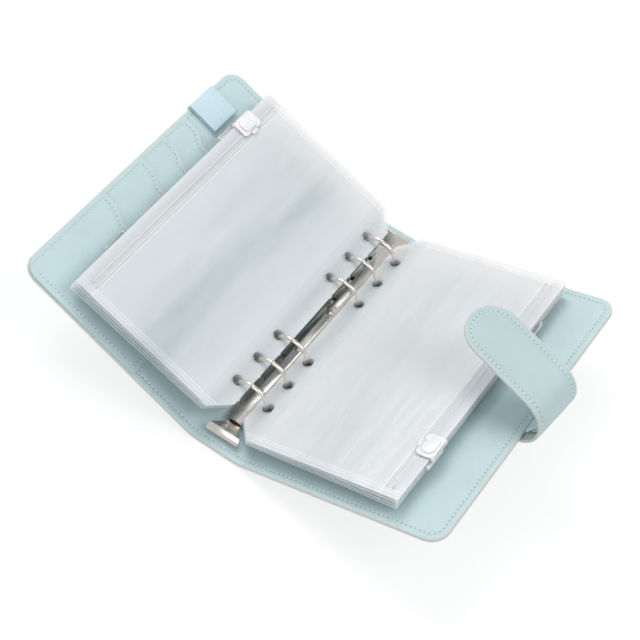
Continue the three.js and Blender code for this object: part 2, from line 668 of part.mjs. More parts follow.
/** Ring mechanism: shield, rails, twelve half rings, rivets and end levers. */
function addMechanism(group) {
  const lift = CLEARANCE / 2;
  place(group, 'ring_shield', geometryOf(ringShield()), nickel).position.z = lift;
  [[-1, 'left'], [1, 'right']].forEach(([side, label]) => {
    place(group, `${label}_rail`, geometryOf(rail(side)), nickel);
    const ring = geometryOf(halfRing(side));
    ringPlaces().sort((a, b) => a - b).forEach((y, k) => {
      place(group, `${label}_half_ring_${k + 1}`, ring.clone(), nickel).position.y = y;
    });
  });
  [-1, 1].forEach((end, k) => {
    place(group, `rivet_${k + 1}`, rivet(end * RIVET_SPACING / 2), nickel).position.z = lift;
    place(group, end < 0 ? 'near_lever' : 'far_lever', lever(end), nickel);
  });
}

/** Front cover with its card slots and pen loop. */
function addFrontCover(group) {
  const cover = coverGroup(-1, FRONT_ANGLE);
  place(cover, 'front_skin', geometryOf(coverSkin(-1)), leather);
  place(cover, 'front_board', geometryOf(coverBoard(-1)), boardGrey);
  place(cover, 'front_lining', geometryOf(coverLining(-1)), leather);
  SLOT_TOPS.forEach((top, k) => {
    const isLast = k === SLOT_TOPS.length - 1;
    const bottom = isLast ? -halfHeight : SLOT_TOPS[k + 1] - SLOT_TUCK;
    const name = isLast ? 'inner_pocket' : `card_slot_${k + 1}`;
    place(cover, name, slotPanel(top, bottom, isLast), leather);
  });
  place(cover, 'pen_loop', geometryOf(penLoop()), elastic);
  group.add(cover);
}

/** Back cover with its edge loop and closing strap. */
function addBackCover(group) {
  const cover = coverGroup(1, BACK_ANGLE);
  place(cover, 'back_skin', geometryOf(coverSkin(1)), leather);
  place(cover, 'back_board', geometryOf(coverBoard(1)), boardGrey);
  place(cover, 'back_lining', geometryOf(coverLining(1)), leather);
  place(cover, 'edge_loop', geometryOf(edgeLoop()), elastic);
  place(cover, 'closing_strap', closingStrap(), leather);
  group.add(cover);
}

const group = new THREE.Group();
addSpine(group);
addMechanism(group);
addFrontCover(group);
addBackCover(group);
envelopeStack(group, -1, 'left', LEFT_STACK, FRONT_ANGLE);
envelopeStack(group, 1, 'right', RIGHT_STACK, BACK_ANGLE);

export default group;
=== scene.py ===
"""Six-ring cash envelope wallet: looks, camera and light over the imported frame."""

import logging
import math
from dataclasses import dataclass, field
from enum import Enum
from typing import Callable, Iterable, Sequence

import bmesh
import bpy
from mathutils import Matrix, Vector


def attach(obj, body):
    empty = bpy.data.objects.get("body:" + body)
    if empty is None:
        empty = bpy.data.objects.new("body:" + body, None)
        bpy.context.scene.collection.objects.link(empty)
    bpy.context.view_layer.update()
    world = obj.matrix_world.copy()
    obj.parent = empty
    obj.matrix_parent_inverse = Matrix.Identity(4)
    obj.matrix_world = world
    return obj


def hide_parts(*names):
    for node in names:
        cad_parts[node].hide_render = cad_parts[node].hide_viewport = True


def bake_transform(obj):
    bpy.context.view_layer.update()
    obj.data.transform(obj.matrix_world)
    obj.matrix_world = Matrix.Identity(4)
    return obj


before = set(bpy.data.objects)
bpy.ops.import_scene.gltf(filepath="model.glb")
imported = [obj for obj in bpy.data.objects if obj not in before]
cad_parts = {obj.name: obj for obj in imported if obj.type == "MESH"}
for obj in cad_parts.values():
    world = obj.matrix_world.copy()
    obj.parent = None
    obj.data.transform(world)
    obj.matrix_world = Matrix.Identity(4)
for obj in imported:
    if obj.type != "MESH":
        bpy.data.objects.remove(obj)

log = logging.getLogger("wallet")

MM = 0.001
COVER_WIDTH = 125.5
HALF_HEIGHT = 95.0
CORNER_RADIUS = 10.0
COVER_THICKNESS = 3.1
FOLD_X = 15.0
FOLD_Z = 1.55
FRONT_ANGLE = math.radians(24.0)
BACK_ANGLE = math.radians(20.0)
FOLD_REACH = 4.0
STITCH_INSET = 3.6
STITCH_PITCH = 2.7
RING_HEIGHT = 14.4
RING_RADIUS = 10.8
RING_WIRE = 1.2
RING_PLACES = (-63.5, -44.5, -25.5, 25.5, 44.5, 63.5)
RING_TIP_TURN = 0.85
RING_FOOT_TURN = 57
HOLE_RADIUS = 3.1
HOLE_SLACK = 1.1
ENVELOPE_HALF = 87.5
ENVELOPE_INNER = -7.2
ENVELOPE_OUTER = 97.0
CHAMFER_ACROSS = 10.5
CHAMFER_ALONG = 12
WELD_HALF = 0.18
POUCH_START = 8.0
POUCH_END = 86.0
POUCH_HALF = 83.0
ZIP_RIBS = (87.3, 90.7)
ZIP_HALF_RUN = 82.5
SLIDER_START = 88.2
SLIDER_END = 99.0
SLIDER_HALF_RUN = 7.5
SLIDER_HALF_RISE = 1.1
SLIDER_GAP = 0.68
FAR_FROM_EDGE = 50.0
CUT_EDGE = (0.6, 0.62, 0.58)

Point = tuple[float, float, float]
Color = tuple[float, float, float]
Flat = tuple[float, float]
Surface = Callable[[float, float, float], Point]
Level = Callable[[float, float], float]
Socket = bpy.types.NodeSocket
Tree = bpy.types.NodeTree


class Side(Enum):
    """Which cover a piece belongs to; the value is its direction on X."""

    FRONT = -1
    BACK = 1


@dataclass(frozen=True)
class Finish:
    """Look of one material.

    Args:
        name: the material's name.
        color: linear base colour.
        roughness: mean roughness.
        metallic: 1 for metal.
    """

    name: str
    color: Color
    roughness: float
    metallic: float = 0.0

    def darker(self, share: float) -> Color:
        """Deeper tone of the base colour.

        Args:
            share: what is left of it.

        Returns:
            The colour.
        """
        return tuple(c * share for c in self.color)


LEATHER = Finish("aqua_leather", (0.54, 0.69, 0.712), 0.5)
# The cover leather in a darker, greyer copy for the strap: painted shade.
SHADED_STRAP_LEATHER = Finish("aqua_leather_shaded_for_strap", (0.49, 0.615, 0.62), 0.55)
THREAD = Finish("aqua_thread", (0.78, 0.91, 0.92), 0.6)
# Dark colour for the needle holes: painted shade inside the holes.
NEEDLE_HOLE_SHADE = Finish("needle_hole_painted_shade", (0.25, 0.37, 0.4), 0.9)
ELASTIC = Finish("ribbed_elastic", (0.68, 0.89, 0.96), 0.8)
NICKEL = Finish("warm_nickel", (0.85, 0.8, 0.75), 0.26, 1.0)
# Frosted film of the two top envelopes in a left and a right copy; the right copy is a little lighter and
# gets weaker painted highlight streaks in main.
FILM = Finish("frosted_film", (0.86, 0.895, 0.91), 0.26)
FILM_RIGHT = Finish("frosted_film_right", (0.88, 0.9, 0.915), 0.26)
# The same frosted film in a darker copy for the envelopes beneath the top ones: painted shade.
SHADED_FILM_BELOW = Finish("frosted_film_shaded_below", (0.8, 0.86, 0.875), 0.3)
ZIP = Finish("zip_profile", (0.88, 0.91, 0.93), 0.25)
SLIDER = Finish("milky_plastic", (0.93, 0.93, 0.95), 0.3)
BOARD = Finish("grey_board", (0.36, 0.34, 0.3), 0.9)


def add_node(tree: Tree, kind: str, inputs: dict[str | int, object], **settings: object) -> bpy.types.Node:
    """New node with its settings and inputs.

    Args:
        tree: node tree.
        kind: kind of node.
        inputs: what goes into its sockets, each a value or another socket.
        settings: its own properties.

    Returns:
        The node.
    """
    node = tree.nodes.new(kind)
    for name, value in settings.items():
        setattr(node, name, value)
    for slot, value in inputs.items():
        if isinstance(value, Socket):
            tree.links.new(value, node.inputs[slot])
        else:
            node.inputs[slot].default_value = value
    return node


class Recipe:
    """One material being mixed: its shader, its nodes and the place on the flat piece.

    Args:
        finish: the look.
        mottle: node group that varies a value by noise.
        band: node group that masks a band.
    """

    def __init__(self, finish: Finish, mottle: Tree, band: Tree) -> None:
        self.finish = finish
        self.mottle = mottle
        self.band = band
        self.material = bpy.data.materials.new(finish.name)
        self.material.use_nodes = True
        self.tree = self.material.node_tree
        self.shader = self.tree.nodes["Principled BSDF"]
        self.shader.inputs["Base Color"].default_value = (*finish.color, 1)
        self.shader.inputs["Roughness"].default_value = finish.roughness
        self.shader.inputs["Metallic"].default_value = finish.metallic
        self.here = self.attribute("place", "Vector")

    def attribute(self, name: str, output: str) -> Socket:
        """Read an attribute of the mesh.

        Args:
            name: attribute name.
            output: which output of the node.

        Returns:
            The socket.
        """
        return add_node(self.tree, "ShaderNodeAttribute", {}, attribute_name=name).outputs[output]

    def drive(self, name: str, value: Socket) -> None:
        """Feed one of the shader's sockets.

        Args:
            name: the socket's name.
            value: what feeds it.
        """
        self.tree.links.new(value, self.shader.inputs[name])

    def mottled(self, scale: float, low: float = 0.0, high: float = 1.0,
                vector: Socket | None = None) -> Socket:
        """Value that varies by noise.

        Args:
            scale: noise scale per millimetre.
            low: least value.
            high: greatest value.
            vector: place to read, or none for the place on the flat piece.

        Returns:
            The value.
        """
        inputs = {"Vector": vector or self.here, "Scale": scale, "Low": low, "High": high}
        return add_node(self.tree, "ShaderNodeGroup", inputs, node_tree=self.mottle).outputs["Value"]

    def banded(self, value: Socket, centre: float, width: float) -> Socket:
        """Soft band of a value.

        Args:
            value: socket to compare.
            centre: middle of the band.
            width: half width of the band.

        Returns:
            The mask.
        """
        inputs = {"Value": value, "Centre": centre, "Width": width}
        return add_node(self.tree, "ShaderNodeGroup", inputs, node_tree=self.band).outputs["Mask"]

    def waves(self, scale: float, distortion: float, direction: str) -> Socket:
        """Wave bands over the flat piece.

        Args:
            scale: wave scale per millimetre.
            distortion: how much they waver.
            direction: axis that they follow.

        Returns:
            The value.
        """
        inputs = {"Vector": self.here, "Scale": scale, "Distortion": distortion}
        return add_node(self.tree, "ShaderNodeTexWave", inputs, bands_direction=direction).outputs["Fac"]

    def math(self, operation: str, first: Socket, second: Socket | float) -> Socket:
        """Math node.

        Args:
            operation: the operation.
            first: socket.
            second: socket or number.

        Returns:
            The result.
        """
        inputs = {0: first, 1: second}
        return add_node(self.tree, "ShaderNodeMath", inputs, operation=operation).outputs[0]

    def times(self, first: Socket, second: Socket | float) -> Socket:
        """Product.

        Args:
            first: socket.
            second: socket or number.

        Returns:
            The product.
        """
        return self.math("MULTIPLY", first, second)

    def tint(self, factor: Socket, low: Color | Socket, high: Color) -> Socket:
        """Mix of two colours.

        Args:
            factor: share of the second.
            low: colour at 0, or its socket.
            high: colour at 1.

        Returns:
            The colour.
        """
        start = low if isinstance(low, Socket) else (*low, 1)
        inputs = {"Factor": factor, 6: start, 7: (*high, 1)}
        return add_node(self.tree, "ShaderNodeMix", inputs, data_type="RGBA").outputs[2]

    def shade(self, factor: Socket, share: float) -> None:
        """Vary the base colour between a deeper tone and the finish's own.

        Args:
            factor: 0 for the deeper tone, 1 for the finish's own.
            share: what is left of the colour in the deeper tone.
        """
        self.drive("Base Color", self.tint(factor, self.finish.darker(share), self.finish.color))

    def bump(self, height: Socket, distance: float) -> None:
        """Relief on the shader.

        Args:
            height: height socket.
            distance: depth in metres.
        """
        inputs = {"Height": height, "Distance": distance, "Strength": 1.0}
        self.drive("Normal", add_node(self.tree, "ShaderNodeBump", inputs).outputs["Normal"])


class Shading:
    """Builds the materials; shared effects are node groups that give masks and values."""

    def __init__(self) -> None:
        self.mottle = self._mottle_group()
        self.band = self._band_group()

    @staticmethod
    def _group(name: str, inputs: Sequence[str], output: str):
        """Empty node group with number sockets, of which Vector is a vector.

        Args:
            name: group name.
            inputs: names of the inputs.
            output: name of the output.

        Returns:
            The group, its input node and its output node.
        """
        tree = bpy.data.node_groups.new(name, "ShaderNodeTree")
        for label in inputs:
            kind = "NodeSocketVector" if label == "Vector" else "NodeSocketFloat"
            tree.interface.new_socket(label, in_out="INPUT", socket_type=kind)
        tree.interface.new_socket(output, in_out="OUTPUT", socket_type="NodeSocketFloat")
        return tree, tree.nodes.new("NodeGroupInput"), tree.nodes.new("NodeGroupOutput")

    def _mottle_group(self) -> Tree:
        """Group that varies a value around a middle by noise.

        Returns:
            The node group.
        """
        tree, start, end = self._group("Mottle", ("Vector", "Scale", "Low", "High"), "Value")
        given = start.outputs
        noise = add_node(tree, "ShaderNodeTexNoise",
                         {"Vector": given["Vector"], "Scale": given["Scale"], "Detail": 4})
        stretch = add_node(tree, "ShaderNodeMapRange", {
            "Value": noise.outputs["Fac"], "From Min": 0.3, "From Max": 0.7,
            "To Min": given["Low"], "To Max": given["High"]})
        tree.links.new(stretch.outputs["Result"], end.inputs["Value"])
        return tree

    def _band_group(self) -> Tree:
        """Group that masks a soft band of a value around a centre.

        Returns:
            The node group.
        """
        tree, start, end = self._group("Band", ("Value", "Centre", "Width"), "Mask")
        given = start.outputs
        off = add_node(tree, "ShaderNodeMath", {0: given["Value"], 1: given["Centre"]}, operation="SUBTRACT")
        size = add_node(tree, "ShaderNodeMath", {0: off.outputs[0]}, operation="ABSOLUTE")
        reach = {"Value": size.outputs[0], "From Max": given["Width"], "To Min": 1, "To Max": 0}
        ramp = add_node(tree, "ShaderNodeMapRange", reach, interpolation_type="SMOOTHSTEP")
        tree.links.new(ramp.outputs["Result"], end.inputs["Mask"])
        return tree

    def _mix(self, finish: Finish) -> Recipe:
        """Start a material.

        Args:
            finish: the look.

        Returns:
            The recipe.
        """
        return Recipe(finish, self.mottle, self.band)

    def leather(self, finish: Finish) -> bpy.types.Material:
        """Grained leather with a cut edge and a sewn groove, with painted shade darkening the groove.

        Args:
            finish: the look.

        Returns:
            The material.
        """
        mix = self._mix(finish)
        edge = mix.attribute("edge_mm", "Fac")
        cells = add_node(mix.tree, "ShaderNodeTexVoronoi", {"Vector": mix.here, "Scale": 1.5})
        base = mix.tint(mix.mottled(0.05), finish.darker(0.94), finish.color)
        tone = mix.tint(mix.banded(edge, 0.0, 0.75), base, CUT_EDGE)
        groove = mix.banded(edge, STITCH_INSET, 1.1)
        # Darker along the sewn groove: painted shade in the groove.
        mix.drive("Base Color", mix.tint(mix.times(groove, 0.07), tone, finish.darker(0.6)))
        mix.drive("Roughness", mix.mottled(0.6, 0.42, 0.56))
        fine = mix.times(mix.mottled(2.4), 0.4)
        grain = mix.math("ADD", mix.times(cells.outputs["Distance"], 0.6), fine)
        mix.bump(mix.math("SUBTRACT", grain, mix.times(groove, 2.2)), 0.00011)
        mix.shader.inputs["Specular IOR Level"].default_value = 0.4
        return mix.material

    def thread(self, finish: Finish) -> bpy.types.Material:
        """Twisted sewing thread, with painted shade in the twist's grooves.

        Args:
            finish: the look.

        Returns:
            The material.
        """
        mix = self._mix(finish)
        twist = mix.waves(1.3, 0.0, "DIAGONAL")
        # Darker where the twist's relief is low: painted shade in its grooves.
        mix.shade(twist, 0.8)
        mix.bump(twist, 0.00006)
        return mix.material

    def dark(self, finish: Finish) -> bpy.types.Material:
        """Needle hole: a dark mark of painted shade inside the hole.

        Args:
            finish: the look.

        Returns:
            The material.
        """
        mix = self._mix(finish)
        mix.shade(mix.mottled(1.0), 0.7)
        return mix.material

    def elastic(self, finish: Finish) -> bpy.types.Material:
        """Elastic tape with fine ribs and knitted rows, with painted shade in the valleys between them.

        Args:
            finish: the look.

        Returns:
            The material.
        """
        mix = self._mix(finish)
        ribs = mix.waves(0.26, 0.4, "Y")
        knit = mix.waves(0.24, 0.6, "X")
        weave = mix.times(ribs, mix.math("ADD", mix.times(knit, 0.5), 0.5))
        # Darker where the ribs and rows are low: painted shade in their valleys.
        mix.shade(weave, 0.76)
        mix.bump(weave, 0.0002)
        mix.shader.inputs["Sheen Weight"].default_value = 0.25
        return mix.material

    def nickel(self, finish: Finish) -> bpy.types.Material:
        """Plated steel with faint polishing marks and smears.

        Args:
            finish: the look.

        Returns:
            The material.
        """
        mix = self._mix(finish)
        mix.drive("Roughness", mix.mottled(0.12, 0.14, 0.28))
        mix.shade(mix.mottled(0.05), 0.93)
        mix.bump(mix.mottled(1.2), 0.000003)
        return mix.material

    def film(self, finish: Finish, clear: float, streak_and_hem_darkening: float, welds: bool = True) -> bpy.types.Material:
        """Frosted film: part see-through, with soft waves, welded seams and darker slanted streaks, partly
        where the two sheets stick together and partly painted highlight streaks.

        Args:
            finish: the look.
            clear: share of light that passes straight through.
            streak_and_hem_darkening: how dark the slanted streaks and the band along the zip are; the
                streaks are partly where the two sheets stick together and partly painted highlight streaks.
            welds: whether the welded seams show.

        Returns:
            The material.
        """
        mix = self._mix(finish)
        split = add_node(mix.tree, "ShaderNodeSeparateXYZ", {"Vector": mix.here})
        across, along = split.outputs["X"], split.outputs["Y"]
        slant = {"Vector": mix.here, "Rotation": (0.0, 0.0, 0.35), "Scale": (1.0, 0.2, 1.0)}
        stretched = add_node(mix.tree, "ShaderNodeMapping", slant).outputs["Vector"]
        # Darker slanted streaks: partly where the two sheets stick together, partly painted light, the
        # lighter film between them standing in for highlight streaks.
        slanted_streaks = mix.mottled(0.034, 0.0, streak_and_hem_darkening, stretched)
        inside = mix.times(slanted_streaks, mix.banded(across, 47.0, 46.0))
        streak_tone = tuple(c * k for c, k in zip(finish.color, (0.66, 0.74, 0.745)))
        tone = mix.tint(inside, finish.color, streak_tone)
        tone = mix.tint(mix.times(mix.banded(along, 90.0, 34.0), 0.8), tone, (0.96, 0.95, 0.945))
        waves = mix.times(mix.mottled(0.024, vector=stretched), 11.0)
        height = mix.math("ADD", waves, mix.times(mix.mottled(3.0), 0.06))
        frost = mix.times(mix.mottled(0.014), mix.mottled(0.03, vector=stretched))
        opacity = mix.math("ADD", mix.times(frost, 0.12), 1 - clear)
        if welds:
            run = mix.math("ABSOLUTE", along, 0)
            line = mix.banded(across, POUCH_START, 0.9)
            tone = mix.tint(mix.times(line, 0.4), tone, (0.76, 0.79, 0.81))
            seams = (
                mix.banded(across, POUCH_END, 1.0),
                mix.banded(run, POUCH_HALF, 0.9),
                mix.banded(run, POUCH_HALF + 1.6, 0.7),
                mix.banded(mix.attribute("edge_mm", "Fac"), 0.0, 0.5),
            )
            mark = seams[0]
            for seam in seams[1:]:
                mark = mix.math("MAXIMUM", mark, seam)
            tone = mix.tint(mix.times(mark, 0.2), tone, (0.95, 0.97, 0.985))
            hem = mix.times(mix.banded(across, 92.0, 9.0), 0.6 * streak_and_hem_darkening)
            tone = mix.tint(hem, tone, (0.72, 0.735, 0.76))
            height = mix.math("SUBTRACT", height, mix.times(mark, 0.35))
            opacity = mix.math("ADD", opacity, mix.times(mark, 0.16))
            strip = mix.banded(across, 0.0, 11.0)
            opacity = mix.math("SUBTRACT", opacity, mix.times(strip, 0.34))
        mix.drive("Base Color", tone)
        mix.drive("Alpha", opacity)
        mix.bump(height, 0.00018)
        mix.shader.inputs["Specular IOR Level"].default_value = 0.55
        return mix.material

    def plastic(self, finish: Finish) -> bpy.types.Material:
        """Milky moulded plastic.

        Args:
            finish: the look.

        Returns:
            The material.
        """
        mix = self._mix(finish)
        mix.shade(mix.mottled(0.25), 0.93)
        mix.bump(mix.mottled(2.0), 0.00003)
        mix.shader.inputs["Subsurface Weight"].default_value = 0.35
        mix.shader.inputs["Subsurface Scale"].default_value = 0.003
        mix.shader.inputs["Subsurface Radius"].default_value = (1, 1, 1)
        return mix.material

    def board(self, finish: Finish) -> bpy.types.Material:
        """Pressed grey board with fibres.

        Args:
            finish: the look.

        Returns:
            The material.
        """
        mix = self._mix(finish)
        place = add_node(mix.tree, "ShaderNodeTexCoord", {}).outputs["Object"]
        fibres = mix.mottled(900.0, vector=place)
        mix.shade(fibres, 0.8)
        mix.bump(fibres, 0.0001)
        return mix.material


@dataclass
class MeshSketch:
    """Vertices in millimetres, faces, and what the materials read at each vertex."""

    points: list[Point] = field(default_factory=list)
    faces: list[tuple[int, ...]] = field(default_factory=list)
    slots: list[int] = field(default_factory=list)
    places: list[Point] = field(default_factory=list)
    edges: list[float] = field(default_factory=list)

    def vertex(self, point: Point, place: Point, edge: float = FAR_FROM_EDGE) -> int:
        """Add a vertex.

        Args:
            point: where it is, in the row frame.
            place: where it is on the flat piece.
            edge: distance from the piece's edge.

        Returns:
            Its index.
        """
        self.points.append(point)
        self.places.append(place)
        self.edges.append(edge)
        return len(self.points) - 1

    def face(self, corners: Sequence[int], slot: int = 0) -> None:
        """Add a face.

        Args:
            corners: vertex indices.
            slot: material index.
        """
        self.faces.append(tuple(corners))
        self.slots.append(slot)

    def loft(self, rings: Sequence[Sequence[int]], slot: int = 0, capped: bool = True) -> None:
        """Add the skin between rings of vertices.

        Args:
            rings: the rings, each with as many vertices.
            slot: material index.
            capped: whether both ends are closed.
        """
        count = len(rings[0])
        for first, second in zip(rings, rings[1:]):
            for i in range(count):
                m = (i + 1) % count
                self.face((first[i], first[m], second[m], second[i]), slot)
        if capped:
            self.face(list(reversed(rings[0])), slot)
            self.face(rings[-1], slot)

    def build(self, name: str, materials: Iterable[bpy.types.Material]) -> bpy.types.Object:
        """Make the object, with outward faces and smooth shading.

        Args:
            name: object name.
            materials: its materials in order.

        Returns:
            The object.
        """
        mesh = bpy.data.meshes.new(name)
        mesh.from_pydata([tuple(c * MM for c in p) for p in self.points], [], self.faces)
        for material in materials:
            mesh.materials.append(material)
        mesh.polygons.foreach_set("material_index", self.slots)
        mark(mesh, self.places, self.edges)
        bm = bmesh.new()
        bm.from_mesh(mesh)
        bmesh.ops.recalc_face_normals(bm, faces=bm.faces)
        bm.to_mesh(mesh)
        bm.free()
        mesh.shade_smooth()
        return add_object(name, mesh)


def clamp(value: float, low: float = 0.0, high: float = 1.0) -> float:
    """Value held between two limits.

    Args:
        value: the value.
        low: least result.
        high: greatest result.

    Returns:
        The held value.
    """
    return min(max(value, low), high)


def dip(distance: float, width: float) -> float:
    """Bell curve, 1 at no distance.

    Args:
        distance: how far from the middle.
        width: where it has fallen to about a third.

    Returns:
        Its height.
    """
    return math.exp(-(distance / width) ** 2)


def add_object(name: str, data: bpy.types.ID) -> bpy.types.Object:
    """New object in the scene.

    Args:
        name: object name.
        data: its mesh, lamp or camera.

    Returns:
        The object.
    """
    obj = bpy.data.objects.new(name, data)
    bpy.context.scene.collection.objects.link(obj)
    return obj


def mark(mesh: bpy.types.Mesh, places: Iterable[Point], edges: Sequence[float]) -> None:
    """Store what the materials read at each vertex.

    Args:
        mesh: the mesh.
        places: place on the flat piece in millimetres.
        edges: distance from the piece's edge in millimetres.
    """
    place = mesh.attributes.new("place", "FLOAT_VECTOR", "POINT")
    place.data.foreach_set("vector", [c for p in places for c in p])
    edge = mesh.attributes.new("edge_mm", "FLOAT", "POINT")
    edge.data.foreach_set("value", edges)


def settle(obj: bpy.types.Object) -> None:
    """Apply the object's modifiers.

    Args:
        obj: the object.
    """
    graph = bpy.context.evaluated_depsgraph_get()
    mesh = bpy.data.meshes.new_from_object(obj.evaluated_get(graph))
    obj.modifiers.clear()
    obj.data = mesh


def soften(obj: bpy.types.Object, width: float, segments: int = 2, angle: float = 40.0) -> bpy.types.Object:
    """Round the sharp edges and apply it.

    Args:
        obj: the object.
        width: bevel width in millimetres.
        segments: steps of the round.
        angle: least edge angle in degrees.

    Returns:
        The same object.
    """
    bevel = obj.modifiers.new("round", "BEVEL")
    bevel.width = width * MM
    bevel.segments = segments
    bevel.limit_method = "ANGLE"
    bevel.angle_limit = math.radians(angle)
    bevel.use_clamp_overlap = True
    settle(obj)
    obj.data.set_sharp_from_angle(angle=math.radians(38))
    return obj


def cover_frame(side: Side, angle: float) -> Surface:
    """Flat cover surface.

    Args:
        side: which cover.
        angle: how far it is raised.

    Returns:
        Map from reach, run along Y and height over the cover's middle to the row frame.
    """

    def at(u: float, y: float, v: float) -> Point:
        x = FOLD_X + u * math.cos(angle) - v * math.sin(angle)
        return side.value * x, y, FOLD_Z + u * math.sin(angle) + v * math.cos(angle)

    return at


def folded_frame(side: Side, angle: float) -> Surface:
    """Cover surface that runs on round the fold to the middle of the spine.

    Args:
        side: which cover.
        angle: how far it is raised.

    Returns:
        Map from reach, run along Y and height over the sheet's middle to the row frame.
    """
    steps = 64
    nodes = [(FOLD_X - FOLD_REACH, 0.0)]
    stride = 2 * FOLD_REACH / steps
    for i in range(steps):
        heading = angle * (i + 0.5) / steps
        x, z = nodes[-1]
        nodes.append((x + stride * math.cos(heading), z + stride * math.sin(heading)))

    def at(u: float, y: float, v: float) -> Point:
        if u <= -FOLD_REACH:
            x, z, heading = FOLD_X + u, 0.0, 0.0
        elif u >= FOLD_REACH:
            beyond = u - FOLD_REACH
            x = nodes[-1][0] + beyond * math.cos(angle)
            z = nodes[-1][1] + beyond * math.sin(angle)
            heading = angle
        else:
            share = (u + FOLD_REACH) / stride
            k = min(int(share), steps - 1)
            part = share - k
            x = nodes[k][0] + part * (nodes[k + 1][0] - nodes[k][0])
            z = nodes[k][1] + part * (nodes[k + 1][1] - nodes[k][1])
            heading = angle * share / steps
        x -= v * math.sin(heading)
        return side.value * x, y, FOLD_Z + z + v * math.cos(heading)

    return at


def outline_distance(u: float, y: float) -> float:
    """Distance from a cover's outline, whose outer corners are round.

    Args:
        u: reach from the fold.
        y: run along Y.

    Returns:
        Millimetres in from the outline.
    """
    a = u - (COVER_WIDTH - CORNER_RADIUS)
    b = abs(y) - (HALF_HEIGHT - CORNER_RADIUS)
    if a > 0 and b > 0:
        return CORNER_RADIUS - math.hypot(a, b)
    return min(COVER_WIDTH - u, HALF_HEIGHT - abs(y))


def spread(low: float, high: float, stride: float) -> list[float]:
    """Even steps between two values.

    Args:
        low: first value.
        high: last value.
        stride: greatest step.

    Returns:
        The values.
    """
    count = max(1, math.ceil((high - low) / stride - 1e-6))
    return [low + (high - low) * i / count for i in range(count + 1)]


def slab(sketch: MeshSketch, rows: Sequence[Sequence[Flat]], surface: Surface,
         low: Level, high: Level, distance: Level) -> None:
    """Closed sheet from a grid of flat points.

    Args:
        sketch: where it is added.
        rows: rows of flat points.
        surface: map to the row frame.
        low: lower height at a flat point.
        high: upper height at a flat point.
        distance: distance from the edge at a flat point.
    """
    layers = []
    for level in (high, low):
        layers.append([[sketch.vertex(surface(u, y, level(u, y)), (u, y, level(u, y)), distance(u, y))
                        for u, y in row] for row in rows])
    top, bottom = layers
    tall, wide = len(rows), len(rows[0])
    for i in range(tall - 1):
        for j in range(wide - 1):
            sketch.face((top[i][j], top[i][j + 1], top[i + 1][j + 1], top[i + 1][j]))
            sketch.face((bottom[i][j], bottom[i + 1][j], bottom[i + 1][j + 1], bottom[i][j + 1]))
    border = [(0, j) for j in range(wide)] + [(i, wide - 1) for i in range(1, tall)]
    border += [(tall - 1, j) for j in range(wide - 2, -1, -1)] + [(i, 0) for i in range(tall - 2, 0, -1)]
    for (i, j), (k, m) in zip(border, border[1:] + border[:1]):
        sketch.face((top[i][j], bottom[i][j], bottom[k][m], top[k][m]))


def resample(path: Sequence[Flat], pitch: float) -> list[tuple[float, float, float, float]]:
    """Even stations along a flat path.

    Args:
        path: flat points.
        pitch: distance between stations.

    Returns:
        Each station's place and its direction.
    """
    lengths = [math.dist(a, b) for a, b in zip(path, path[1:])]
    total = sum(lengths)
    count = max(1, round(total / pitch))
    stations = []
    for n in range(count):
        want = (n + 0.5) * total / count
        k = 0
        while k < len(lengths) - 1 and want > lengths[k]:
            want -= lengths[k]
            k += 1
        (x0, y0), (x1, y1) = path[k], path[k + 1]
        length = max(lengths[k], 1e-9)
        dx, dy = (x1 - x0) / length, (y1 - y0) / length
        stations.append((x0 + dx * want, y0 + dy * want, dx, dy))
    return stations


def bead(sketch: MeshSketch, surface: Surface, centre: Flat, level: float,
         along: Flat, sizes: Point, slot: int) -> None:
    """Small rounded lozenge lying on a surface, such as one stitch.

    Args:
        sketch: where it is added.
        surface: map to the row frame.
        centre: flat place.
        level: height of its middle.
        along: flat direction of its length.
        sizes: half length, half width and half height.
        slot: material index.
    """
    sides = 6
    length, width, height = sizes

    def put(a: float, b: float, v: float) -> int:
        u = centre[0] + a * along[0] - b * along[1]
        y = centre[1] + a * along[1] + b * along[0]
        return sketch.vertex(surface(u, y, v), (u, y, v))

    rings = []
    for share in (-0.72, 0.0, 0.72):
        swell = math.sqrt(1 - share * share)
        turns = [2 * math.pi * k / sides for k in range(sides)]
        rings.append([put(length * share, width * swell * math.cos(t), level + height * swell * math.sin(t))
                      for t in turns])
    ends = [put(share * length, 0, level) for share in (-1.0, 1.0)]
    sketch.loft(rings, slot, capped=False)
    for k in range(sides):
        m = (k + 1) % sides
        sketch.face((ends[0], rings[0][m], rings[0][k]), slot)
        sketch.face((ends[1], rings[-1][k], rings[-1][m]), slot)


def sew(sketch: MeshSketch, surface: Surface, path: Sequence[Flat], level: Level,
        facing: float = 1.0) -> None:
    """Row of stitches with a needle hole between each two, a dark bead of painted shade.

    Args:
        sketch: where they are added.
        surface: map to the row frame.
        path: flat points of the row.
        level: height of the sewn surface at a flat point.
        facing: 1 for the upper side, -1 for the lower side.
    """
    for u, y, du, dy in resample(path, STITCH_PITCH):
        height = level(u, y) + 0.02 * facing
        bead(sketch, surface, (u, y), height, (du, dy), (0.95, 0.38, 0.3), 1)
        half = STITCH_PITCH / 2
        # Flat dark bead between stitches: painted shade of the needle hole.
        bead(sketch, surface, (u + du * half, y + dy * half), height, (du, dy), (0.36, 0.38, 0.07), 2)


def arc_points(cx: float, cy: float, radius: float, start: float, end: float, steps: int) -> list[Flat]:
    """Points of a flat arc.

    Args:
        cx: centre.
        cy: centre.
        radius: radius.
        start: first angle in degrees.
        end: last angle in degrees.
        steps: how many pieces.

    Returns:
        The points.
    """
    turns = [math.radians(start + (end - start) * i / steps) for i in range(steps + 1)]
    return [(cx + radius * math.cos(t), cy + radius * math.sin(t)) for t in turns]


